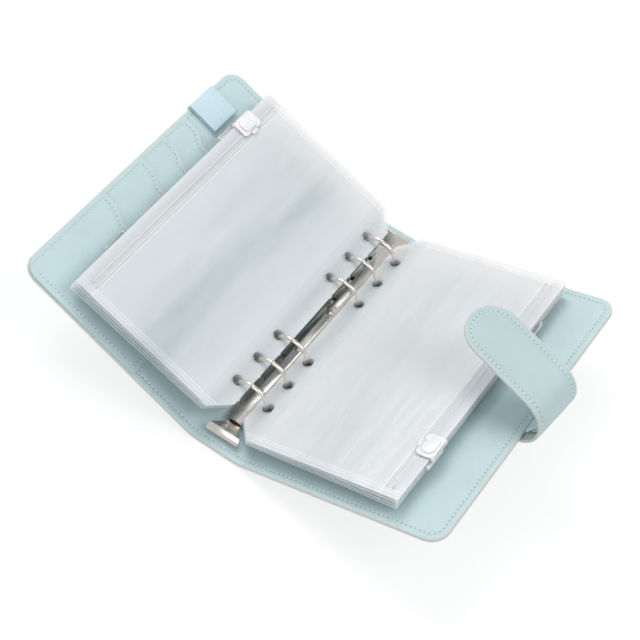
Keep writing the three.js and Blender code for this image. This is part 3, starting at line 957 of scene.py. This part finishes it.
@dataclass
class Covers:
    """The soft cover: two sewn leather sheets, card slots, elastic loops and the strap."""

    shading: dict[str, bpy.types.Material]

    def _sewn(self, leather: str = "leather") -> list[bpy.types.Material]:
        """Materials of a sewn leather piece.

        Args:
            leather: which leather material; the strap's is the cover leather darkened with painted shade.

        Returns:
            Leather, thread and the needle holes' painted shade.
        """
        return [self.shading[name] for name in (leather, "thread", "hole")]

    def shell(self, side: Side, angle: float, nodes: Sequence[str]) -> None:
        """One half of the cover, from the spine's middle round the fold to the outer edge.

        Args:
            side: which cover.
            angle: how far it is raised.
            nodes: solids it stands for.
        """
        surface = folded_frame(side, angle)
        sketch = MeshSketch()
        near_edge = [0.0, 0.7, 1.5, 2.6, 3.6, 4.6, 6.0, 8.0, 10.0]
        us = spread(-FOLD_X, -6, 3) + spread(-5, 5, 0.8) + spread(7, COVER_WIDTH - 12, 4)
        us += [COVER_WIDTH - e for e in reversed(near_edge)]
        ys = [-HALF_HEIGHT + e for e in near_edge] + spread(-82, 82, 4)
        ys += [HALF_HEIGHT - e for e in reversed(near_edge)]

        def squeeze(u: float, y: float) -> float:
            over = abs(y) - (HALF_HEIGHT - CORNER_RADIUS)
            if over <= 0:
                return u
            cut = CORNER_RADIUS - math.sqrt(max(CORNER_RADIUS ** 2 - over ** 2, 0))
            give = 26
            hold = COVER_WIDTH - give
            return u if u <= hold else hold + (u - hold) * (give - cut) / give

        rows = [[(squeeze(u, y), y) for u in us] for y in ys]
        half = COVER_THICKNESS / 2

        def puff(u: float, y: float) -> float:
            edge = outline_distance(u, y)
            pinch = 0.22 * dip(edge - STITCH_INSET, 1.6)
            rim = 0.42 * math.exp(-max(edge, 0) / 0.9)
            return half - pinch - rim

        slab(sketch, rows, surface, lambda u, y: -puff(u, y), puff, outline_distance)
        low, out = -HALF_HEIGHT + STITCH_INSET, COVER_WIDTH - STITCH_INSET
        turn = CORNER_RADIUS - STITCH_INSET
        bends = (-FOLD_X, -5, 0, 5)
        path = [(u, low) for u in bends] + [(out - turn, low)]
        path += arc_points(out - turn, low + turn, turn, -90, 0, 8)
        path += arc_points(out - turn, -low - turn, turn, 0, 90, 8)
        path += [(u, -low) for u in reversed(bends)]
        sew(sketch, surface, path, puff)
        sew(sketch, surface, path, lambda u, y: -puff(u, y), -1.0)
        name = "front_cover_leather" if side is Side.FRONT else "back_cover_leather"
        obj = soften(sketch.build(name, self._sewn()), 0.35, 2, 55)
        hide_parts(*nodes)
        start = surface(-FOLD_REACH - 1, 0, 0)
        end = surface(FOLD_REACH + 1, 0, 0)
        tuple(c * MM for c in start)
        tuple(c * MM for c in end)
        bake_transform(obj)

    def card_slots(self) -> None:
        """Card slots and the inner pocket on the front cover's lining, each overlapping the next."""
        tops = (45.0, 26.0, 5.0, -28.0)
        surface = cover_frame(Side.FRONT, FRONT_ANGLE)
        inner, tuck, rise, sheet = 44.0, 8.0, 1.05, 0.5
        outer = COVER_WIDTH - 0.15
        scoop, scoop_start, scoop_slope = 5.0, 10.0, 12.0
        hem_inset = 3.0
        base = COVER_THICKNESS / 2 + 0.22
        for k, top in enumerate(tops):
            last = k == len(tops) - 1
            bottom = -HALF_HEIGHT + 0.4 if last else tops[k + 1] - tuck
            sketch = MeshSketch()

            def crest(u: float, top: float = top) -> float:
                near = u - inner - scoop_start
                far = COVER_WIDTH - scoop_start - u
                share = clamp(min(near, far) / scoop_slope)
                return top - scoop * share * share * (3 - 2 * share)

            def floor_at(u: float, bottom: float = bottom, last: bool = last) -> float:
                over = u - (COVER_WIDTH - CORNER_RADIUS)
                if not last or over <= 0:
                    return bottom
                return bottom + CORNER_RADIUS - math.sqrt(max(CORNER_RADIUS ** 2 - over ** 2, 0))

            span = top - bottom

            def height(_: float, y: float, bottom: float = bottom, span: float = span) -> float:
                return base + rise * clamp((y - bottom) / span)

            def upper(u: float, y: float, height=height) -> float:
                rim = min(outer - u, 9.0)
                return height(u, y) + sheet - 0.15 * dip(rim - STITCH_INSET, 1.5)

            def distance(u: float, y: float, crest=crest) -> float:
                return min(crest(u) - y, outer - u, u - inner)

            us = spread(inner, outer, 2.2)
            shares = [0, 0.02, 0.08, 0.2, 0.35, 0.5, 0.65, 0.8, 0.9, 0.94, 0.97, 0.985, 1]
            rows = [[(u, floor_at(u) + (crest(u) - floor_at(u)) * s) for u in us] for s in shares]
            slab(sketch, rows, surface, height, upper, distance)
            hem = [(u, crest(u) - hem_inset) for u in spread(inner + 3.2, COVER_WIDTH - 5.5, 2.0)]
            side = COVER_WIDTH - STITCH_INSET - 0.2
            side_low = bottom + (CORNER_RADIUS if last else 1.0)
            seams = [
                hem,
                [(inner + hem_inset, bottom + 1.5), (inner + hem_inset, top - 3.4)],
                [(side, side_low), (side, top - 3.5)],
            ]
            if last:
                foot = bottom + STITCH_INSET
                seams.append([(inner + 4, foot), (COVER_WIDTH - CORNER_RADIUS, foot)])
            for seam in seams:
                sew(sketch, surface, seam, upper)
            name = "inner_pocket" if last else f"card_slot_{k + 1}"
            obj = soften(sketch.build(f"{name}_leather", self._sewn()), 0.14, 2, 55)
            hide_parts(name)
            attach(obj, "front_cover")

    def loops(self) -> None:
        """Elastic pen loop and the narrow loop on the back cover's edge."""
        for node, body in (("pen_loop", "front_cover"), ("edge_loop", "back_cover")):
            obj = refined(node, f"{node}_elastic", self.shading["elastic"], 0.18)
            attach(obj, body)

    def strap(self) -> None:
        """Closing strap: a sewn leather band curled round the back cover's outer edge."""
        half, sewn, free = 16.5, 40.0, 89.5
        radius, turn_most, skew = 14.0, math.radians(152), math.radians(6)
        centre_y, lift, seam = 1.5, 1.3, 3.2
        begin = COVER_WIDTH - 1.5
        cover = cover_frame(Side.BACK, BACK_ANGLE)
        root = COVER_WIDTH - sewn
        bow = COVER_WIDTH + free - half

        def surface(s: float, w: float, h: float) -> Point:
            a = s * math.cos(skew) - w * math.sin(skew)
            b = s * math.sin(skew) + w * math.cos(skew)
            turn = clamp((a - begin) / radius, 0, turn_most)
            beyond = max(a - begin - radius * turn_most, 0)
            reach = radius + h
            out = min(a, begin) + reach * math.sin(turn) + beyond * math.cos(turn)
            up = radius - reach * math.cos(turn) + beyond * math.sin(turn)
            u = b * math.sin(skew) + out * math.cos(skew)
            y = centre_y + b * math.cos(skew) - out * math.sin(skew)
            return cover(u, y, -COVER_THICKNESS / 2 - lift + up)

        def width_at(s: float) -> float:
            over = max(s - bow, 0)
            return math.sqrt(max(half ** 2 - over ** 2, 0))

        def distance(s: float, w: float) -> float:
            over = s - bow
            if over > 0:
                return half - math.hypot(over, w)
            return min(half - abs(w), s - root + 0.01)

        def thick(s: float, w: float) -> float:
            edge = distance(s, w)
            return 1.0 - 0.22 * dip(edge - seam, 1.5) - 0.3 * math.exp(-max(edge, 0) / 0.8)

        sketch = MeshSketch()
        ss = spread(root, bow, 1.6)
        ss += [bow + half * math.sin(math.radians(t)) for t in spread(5, 84, 5)]
        shares = [-1, -0.96, -0.9, -0.81, -0.72, -0.5, -0.25, 0, 0.25, 0.5, 0.72, 0.81, 0.9, 0.96, 1]
        rows = [[(s, width_at(s) * share) for share in shares] for s in ss]
        slab(sketch, rows, surface, lambda s, w: -thick(s, w), thick, distance)
        line = half - seam
        path = [(root + 3, -line), (bow, -line)]
        path += arc_points(bow, 0, line, -90, 90, 20)
        path += [(root + 3, line), (root + 3, -line)]
        sew(sketch, surface, path, thick)
        sew(sketch, surface, path, lambda s, w: -thick(s, w), -1.0)
        # The strap takes the darker copy of the cover leather: painted shade.
        obj = soften(sketch.build("closing_strap_leather", self._sewn("strap")), 0.35, 2, 55)
        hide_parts("closing_strap")
        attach(obj, "back_cover")


def refined(node: str, name: str, material: bpy.types.Material, bevel: float) -> bpy.types.Object:
    """Rounded copy of a solid that stands for it.

    Args:
        node: the solid.
        name: name of the copy.
        material: its material.
        bevel: edge round in millimetres.

    Returns:
        The copy.
    """
    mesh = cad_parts[node].data.copy()
    mesh.materials.clear()
    mesh.materials.append(material)
    for polygon in mesh.polygons:
        polygon.material_index = 0
    obj = add_object(name, mesh)
    bm = bmesh.new()
    bm.from_mesh(mesh)
    bmesh.ops.remove_doubles(bm, verts=bm.verts, dist=1e-6)
    bmesh.ops.dissolve_limit(bm, angle_limit=math.radians(1), verts=bm.verts, edges=bm.edges)
    bm.to_mesh(mesh)
    bm.free()
    mesh.shade_smooth()
    soften(obj, bevel, 2, 30)
    vertices = obj.data.vertices
    mark(obj.data, [v.co / MM for v in vertices], [FAR_FROM_EDGE] * len(vertices))
    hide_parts(node)
    return obj


@dataclass
class Mechanism:
    """Plated ring mechanism: shield, rails, half rings, rivets and end levers."""

    metal: bpy.types.Material

    def half_ring(self, side: int, index: int, y: float) -> None:
        """One half ring of round wire with its foot.

        Args:
            side: direction on X.
            index: its number along the spine.
            y: its place along the spine.
        """
        sketch = MeshSketch()
        sides, steps = 14, 44
        start, end = math.radians(90 - RING_TIP_TURN), math.radians(-RING_FOOT_TURN)
        rings = []
        for i in range(steps + 1):
            turn = start + (end - start) * i / steps
            ring = []
            for k in range(sides):
                swing = 2 * math.pi * k / sides
                reach = RING_RADIUS + RING_WIRE * math.cos(swing)
                point = (side * reach * math.cos(turn), y + RING_WIRE * math.sin(swing),
                         RING_HEIGHT + reach * math.sin(turn))
                ring.append(sketch.vertex(point, point))
            rings.append(ring)
        sketch.loft(rings)
        word = "left" if side < 0 else "right"
        obj = soften(sketch.build(f"{word}_half_ring_{index}_wire", [self.metal]), 0.18, 2, 50)
        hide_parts(f"{word}_half_ring_{index}")
        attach(obj, f"{word}_rail_body")

    def make(self) -> None:
        """Build every metal piece."""
        for side in (-1, 1):
            for index, y in enumerate(RING_PLACES, 1):
                self.half_ring(side, index, y)
        rigid = (
            ("ring_shield", "spine", 0.12), ("rivet_1", "spine", 0.1), ("rivet_2", "spine", 0.1),
            ("left_rail", "left_rail_body", 0.1), ("right_rail", "right_rail_body", 0.1),
            ("near_lever", "near_lever_body", 0.2), ("far_lever", "far_lever_body", 0.2),
        )
        for node, body, bevel in rigid:
            obj = refined(node, f"{node}_plated", self.metal, bevel)
            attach(obj, body)


@dataclass
class Stack:
    """One side's envelopes on the rings.

    Args:
        side: which side.
        angle: the cover's angle.
        first_hole: ring angle of the lowest envelope's holes.
        hole_step: ring angle from one envelope to the next.
        edges: height of each outer edge over the cover's middle.
        sliders: where each slider is along Y.
        shading: the materials by name.
    """

    side: Side
    angle: float
    first_hole: float
    hole_step: float
    edges: tuple[float, ...]
    sliders: tuple[float, ...]
    shading: dict[str, bpy.types.Material] = field(default_factory=dict)

    @property
    def word(self) -> str:
        """Name of the side.

        Returns:
            left or right.
        """
        return "left" if self.side is Side.FRONT else "right"

    def leaf_frame(self, k: int) -> Surface:
        """Surface of one envelope.

        Args:
            k: which envelope, from the lowest.

        Returns:
            Map from reach off the holes, run and height to the row frame.
        """
        hole = math.radians(self.first_hole + k * self.hole_step)
        hole_x, hole_z = RING_RADIUS * math.cos(hole), RING_RADIUS * math.sin(hole)
        over = (RING_HEIGHT - FOLD_Z + hole_z) * math.cos(self.angle)
        over -= (hole_x - FOLD_X) * math.sin(self.angle)
        tilt = self.angle + math.asin((self.edges[k] - over) / ENVELOPE_OUTER)
        px = hole_x + HOLE_SLACK * math.cos(tilt)
        pz = RING_HEIGHT + hole_z + HOLE_SLACK * math.sin(tilt)

        def at(a: float, y: float, h: float) -> Point:
            x = px + a * math.cos(tilt) - h * math.sin(tilt)
            return self.side.value * x, y, pz + a * math.sin(tilt) + h * math.cos(tilt)

        return at

    def envelope(self, k: int) -> None:
        """One zipped envelope of frosted film.

        Args:
            k: which envelope, from the lowest.
        """
        surface = self.leaf_frame(k)
        top = k == len(self.edges) - 1
        sketch = MeshSketch()
        phase = 1.7 * k + (0.0 if self.side is Side.FRONT else 2.3)

        def start_at(y: float) -> float:
            over = abs(y) - (ENVELOPE_HALF - CHAMFER_ALONG)
            return ENVELOPE_INNER + max(over, 0) * CHAMFER_ACROSS / CHAMFER_ALONG

        def wave(a: float, y: float) -> float:
            reach = clamp((a - 10) / 60) * clamp((92 - a) / 10, 0.15)
            calm = 0.22 * reach * math.sin(0.05 * a + 0.045 * y + phase)
            if not top:
                return calm
            swell = math.sin(math.pi * clamp((a - POUCH_START) / 80)) * math.cos(y / 62) ** 2
            ripple = 0.3 * math.sin(0.16 * a + 0.02 * y + phase)
            return calm + swell * (1.3 + 1.5 * ripple)

        def fullness(a: float, y: float) -> float:
            return clamp(min((a - POUCH_START) / 10, (POUCH_END - a) / 6, (POUCH_HALF - abs(y)) / 8))

        def upper(a: float, y: float) -> float:
            return wave(a, y) + WELD_HALF + 0.16 * fullness(a, y)

        def lower(a: float, y: float) -> float:
            base = wave(a, y) * (0.8 if top else 1.0)
            return base - WELD_HALF - 0.12 * fullness(a, y)

        def distance(a: float, y: float) -> float:
            return min(a - start_at(y), ENVELOPE_OUTER - a, ENVELOPE_HALF - abs(y))

        chamfer = spread(ENVELOPE_HALF - CHAMFER_ALONG, ENVELOPE_HALF, 2)
        ys = [-y for y in reversed(chamfer)] + spread(-72, 72, 3.6) + chamfer
        shares = [0, 0.02, 0.05, 0.1] + [0.14 + 0.76 * i / 24 for i in range(25)] + [0.93, 0.96, 0.98, 1]
        rows = [[(start_at(y) + (ENVELOPE_OUTER - start_at(y)) * s, y) for s in shares] for y in ys]
        slab(sketch, rows, surface, lower, upper, distance)
        # Envelopes beneath the top one take the darker film copy: painted shade.
        film = self.shading[f"film_{self.word}" if top else "film_below"]
        obj = sketch.build(f"{self.word}_envelope_{k + 1}_film", [film])
        self._punch(obj, surface, self.shading["slider"])
        zips = MeshSketch()
        for centre in ZIP_RIBS:
            for facing in (1, -1):
                self._rail(zips, surface, centre, facing, wave)
        rails = zips.build(f"{self.word}_envelope_{k + 1}_zip", [self.shading["zip"]])
        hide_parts(f"{self.word}_envelope_{k + 1}")
        for piece in (obj, rails):
            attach(piece, f"{self.word}_leaves")

    @staticmethod
    def _rail(sketch: MeshSketch, surface: Surface, centre: float, facing: int, wave: Level) -> None:
        """Raised rib of the zip along the envelope.

        Args:
            sketch: where it is added.
            surface: the envelope's surface.
            centre: its reach off the holes.
            facing: upper or lower side.
            wave: the envelope's waves.
        """
        section = [(-0.7, 0.1), (-0.55, 0.4), (-0.2, 0.52), (0.2, 0.52), (0.55, 0.4), (0.7, 0.1)]
        rings = []
        for y in spread(-ZIP_HALF_RUN, ZIP_HALF_RUN, 4):
            ring = []
            for du, dv in section:
                v = wave(centre, y) * 0.8 + facing * dv
                ring.append(sketch.vertex(surface(centre + du, y, v), (centre + du, y, v)))
            rings.append(ring)
        sketch.loft(rings)

    @staticmethod
    def _punch(obj: bpy.types.Object, surface: Surface, edge: bpy.types.Material) -> None:
        """Cut the ring holes through a film.

        Args:
            obj: the film.
            surface: its surface.
            edge: material of the cut edge.
        """
        sketch = MeshSketch()
        sides, reach = 28, 3.0
        for y in RING_PLACES:
            outline = arc_points(0, y, HOLE_RADIUS, 0, 360, sides)[:sides]
            sketch.loft([[sketch.vertex(surface(a, b, h), (0, 0, 0)) for a, b in outline]
                         for h in (-reach, reach)])
        punch = sketch.build("punch", [edge])
        cut = obj.modifiers.new("holes", "BOOLEAN")
        cut.operation = "DIFFERENCE"
        cut.object = punch
        cut.solver = "EXACT"
        cut.material_mode = "TRANSFER"
        settle(obj)
        bpy.data.objects.remove(punch)
        obj.data.set_sharp_from_angle(angle=math.radians(40))

    def slider(self, k: int) -> None:
        """The slider that opens one envelope's zip.

        Args:
            k: which envelope, from the lowest.
        """
        surface = self.leaf_frame(k)
        y0 = self.sliders[k]
        top = k == len(self.edges) - 1
        sketch = MeshSketch()

        def box(a0: float, a1: float, half: float, h0: float, h1: float, cut: float) -> None:
            short = half - cut
            spots = [(a0 + cut, -half), (a1 - cut, -half), (a1, -short), (a1, short),
                     (a1 - cut, half), (a0 + cut, half), (a0, short), (a0, -short)]
            sketch.loft([[sketch.vertex(surface(a, y0 + w, h), (a, y0 + w, h)) for a, w in spots]
                         for h in (h0, h1)])

        rise = SLIDER_HALF_RISE
        box(SLIDER_START, SLIDER_END, SLIDER_HALF_RUN, SLIDER_GAP, 1.7 if top else rise, 1.6)
        box(SLIDER_START, SLIDER_END, SLIDER_HALF_RUN, -rise, -SLIDER_GAP, 1.6)
        box(SLIDER_END - 1.6, SLIDER_END, SLIDER_HALF_RUN, -rise, rise, 0.7)
        box(89.8, 97.4, 5.4, 0.9, 2.6 if top else 1.05, 2.0)
        if top:
            box(86.6, 92.0, 2.4, 0.8, 1.8, 0.9)
        name = f"{self.word}_zip_slider_{k + 1}"
        obj = soften(sketch.build(f"{name}_moulding", [self.shading["slider"]]), 0.5 if top else 0.2, 4, 40)
        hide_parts(name)
        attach(obj, f"{self.word}_slider_{k + 1}")

    def make(self) -> None:
        """Build the whole stack."""
        for k in range(len(self.edges)):
            self.envelope(k)
            self.slider(k)


class Studio:
    """Camera at the photograph's angle, pale floor and soft light."""

    def camera(self) -> None:
        """Place the camera that was fitted to the photograph."""
        data = bpy.data.cameras.new("photo_camera")
        data.lens = 96.44
        data.sensor_width = 36.0
        data.clip_end = 10
        obj = add_object("photo_camera", data)
        right = Vector((0.8231, 0.5548, 0.1213))
        down = Vector((0.5085, -0.6250, -0.5923))
        ahead = Vector((-0.2528, 0.5492, -0.7965))
        place = Vector((240.28, -518.09, 769.71)) * MM
        turn = Matrix((right, -down, -ahead)).transposed().to_4x4()
        obj.matrix_world = Matrix.Translation(place) @ turn
        bpy.context.scene.camera = obj

    @staticmethod
    def _show(tree: Tree, output: str, lit: Socket, seen: Socket, share: float) -> None:
        """Show one shader to the camera and another to everything else.

        Args:
            tree: node tree.
            output: kind of the output node.
            lit: shader that lights and is lit.
            seen: shader for the camera.
            share: how much of it the camera sees.
        """
        camera = add_node(tree, "ShaderNodeLightPath", {}).outputs["Is Camera Ray"]
        part = add_node(tree, "ShaderNodeMath", {0: camera, 1: share}, operation="MULTIPLY")
        mix = add_node(tree, "ShaderNodeMixShader", {"Fac": part.outputs[0], 1: lit, 2: seen})
        add_node(tree, output, {"Surface": mix.outputs[0]})

    def floor(self) -> None:
        """Pale floor that keeps a faint contact shadow."""
        mesh = bpy.data.meshes.new("floor")
        half, level = 4, -0.0002
        corners = [(-half, -half, level), (half, -half, level), (half, half, level), (-half, half, level)]
        mesh.from_pydata(corners, [], [(0, 1, 2, 3)])
        obj = add_object("floor", mesh)
        material = bpy.data.materials.new("floor_white")
        material.use_nodes = True
        tree = material.node_tree
        tree.nodes.clear()
        diffuse = add_node(tree, "ShaderNodeBsdfDiffuse", {"Color": (0.9, 0.9, 0.9, 1)})
        glow = add_node(tree, "ShaderNodeEmission", {"Strength": 1.05})
        self._show(tree, "ShaderNodeOutputMaterial", diffuse.outputs[0], glow.outputs[0], 0.72)
        mesh.materials.append(material)

    def lights(self) -> None:
        """Soft boxes and an even sky."""
        world = bpy.data.worlds.new("sky")
        bpy.context.scene.world = world
        world.use_nodes = True
        tree = world.node_tree
        tree.nodes.clear()
        seen = add_node(tree, "ShaderNodeBackground", {"Strength": 1.0, "Color": (1, 1, 1, 1)})
        fill = add_node(tree, "ShaderNodeBackground", {"Strength": 0.62, "Color": (0.98, 0.99, 1, 1)})
        self._show(tree, "ShaderNodeOutputWorld", fill.outputs[0], seen.outputs[0], 1.0)
        boxes = (((-0.7, 0.5, 1.3), 0.8, 9.0), ((0.9, 0.2, 1.2), 0.7, 5.0), ((0.1, -1.2, 0.9), 0.6, 2.5))
        for k, (place, size, power) in enumerate(boxes):
            data = bpy.data.lights.new(f"soft_box_{k + 1}", "AREA")
            data.shape = "SQUARE"
            data.size = size
            data.energy = power
            obj = add_object(f"soft_box_{k + 1}", data)
            obj.location = place
            obj.rotation_mode = "QUATERNION"
            obj.rotation_quaternion = (-Vector(place)).to_track_quat("-Z", "Y")


def main() -> None:
    """Build the scene over the frame."""
    logging.basicConfig(level=logging.INFO)
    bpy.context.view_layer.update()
    bpy.context.scene.view_settings.view_transform = "Standard"
    studio = Studio()
    studio.camera()
    studio.floor()
    studio.lights()
    shading = Shading()
    materials = {
        "leather": shading.leather(LEATHER),
        "strap": shading.leather(SHADED_STRAP_LEATHER),
        "thread": shading.thread(THREAD),
        "hole": shading.dark(NEEDLE_HOLE_SHADE),
        "elastic": shading.elastic(ELASTIC),
        "metal": shading.nickel(NICKEL),
        # Streak strength of each film: the streaks are partly sheets sticking together and partly painted
        # highlight streaks, strongest on the left top film.
        "film_left": shading.film(FILM, clear=0.42, streak_and_hem_darkening=1.0),
        "film_right": shading.film(FILM_RIGHT, clear=0.42, streak_and_hem_darkening=0.3),
        "film_below": shading.film(SHADED_FILM_BELOW, clear=0.25, streak_and_hem_darkening=0.6),
        "zip": shading.film(ZIP, clear=0.5, streak_and_hem_darkening=0.2, welds=False),
        "slider": shading.plastic(SLIDER),
        "board": shading.board(BOARD),
    }
    covers = Covers(materials)
    covers.shell(Side.FRONT, FRONT_ANGLE,
                 ("front_skin", "front_lining", "spine_skin", "spine_lining"))
    covers.shell(Side.BACK, BACK_ANGLE, ("back_skin", "back_lining"))
    covers.card_slots()
    covers.loops()
    covers.strap()
    Mechanism(materials["metal"]).make()
    Stack(Side.FRONT, FRONT_ANGLE, first_hole=12, hole_step=11, edges=(8.4, 11.6, 14.8, 18.0),
          sliders=(-48, 56, 50, 61), shading=materials).make()
    Stack(Side.BACK, BACK_ANGLE, first_hole=-21, hole_step=7, edges=(5.3, 7.8, 10.3, 12.8),
          sliders=(30, 51, -54, -50), shading=materials).make()
    for node in ("spine_board", "front_board", "back_board"):
        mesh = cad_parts[node].data
        mesh.materials.clear()
        mesh.materials.append(materials["board"])


if __name__ == "__main__":
    main()
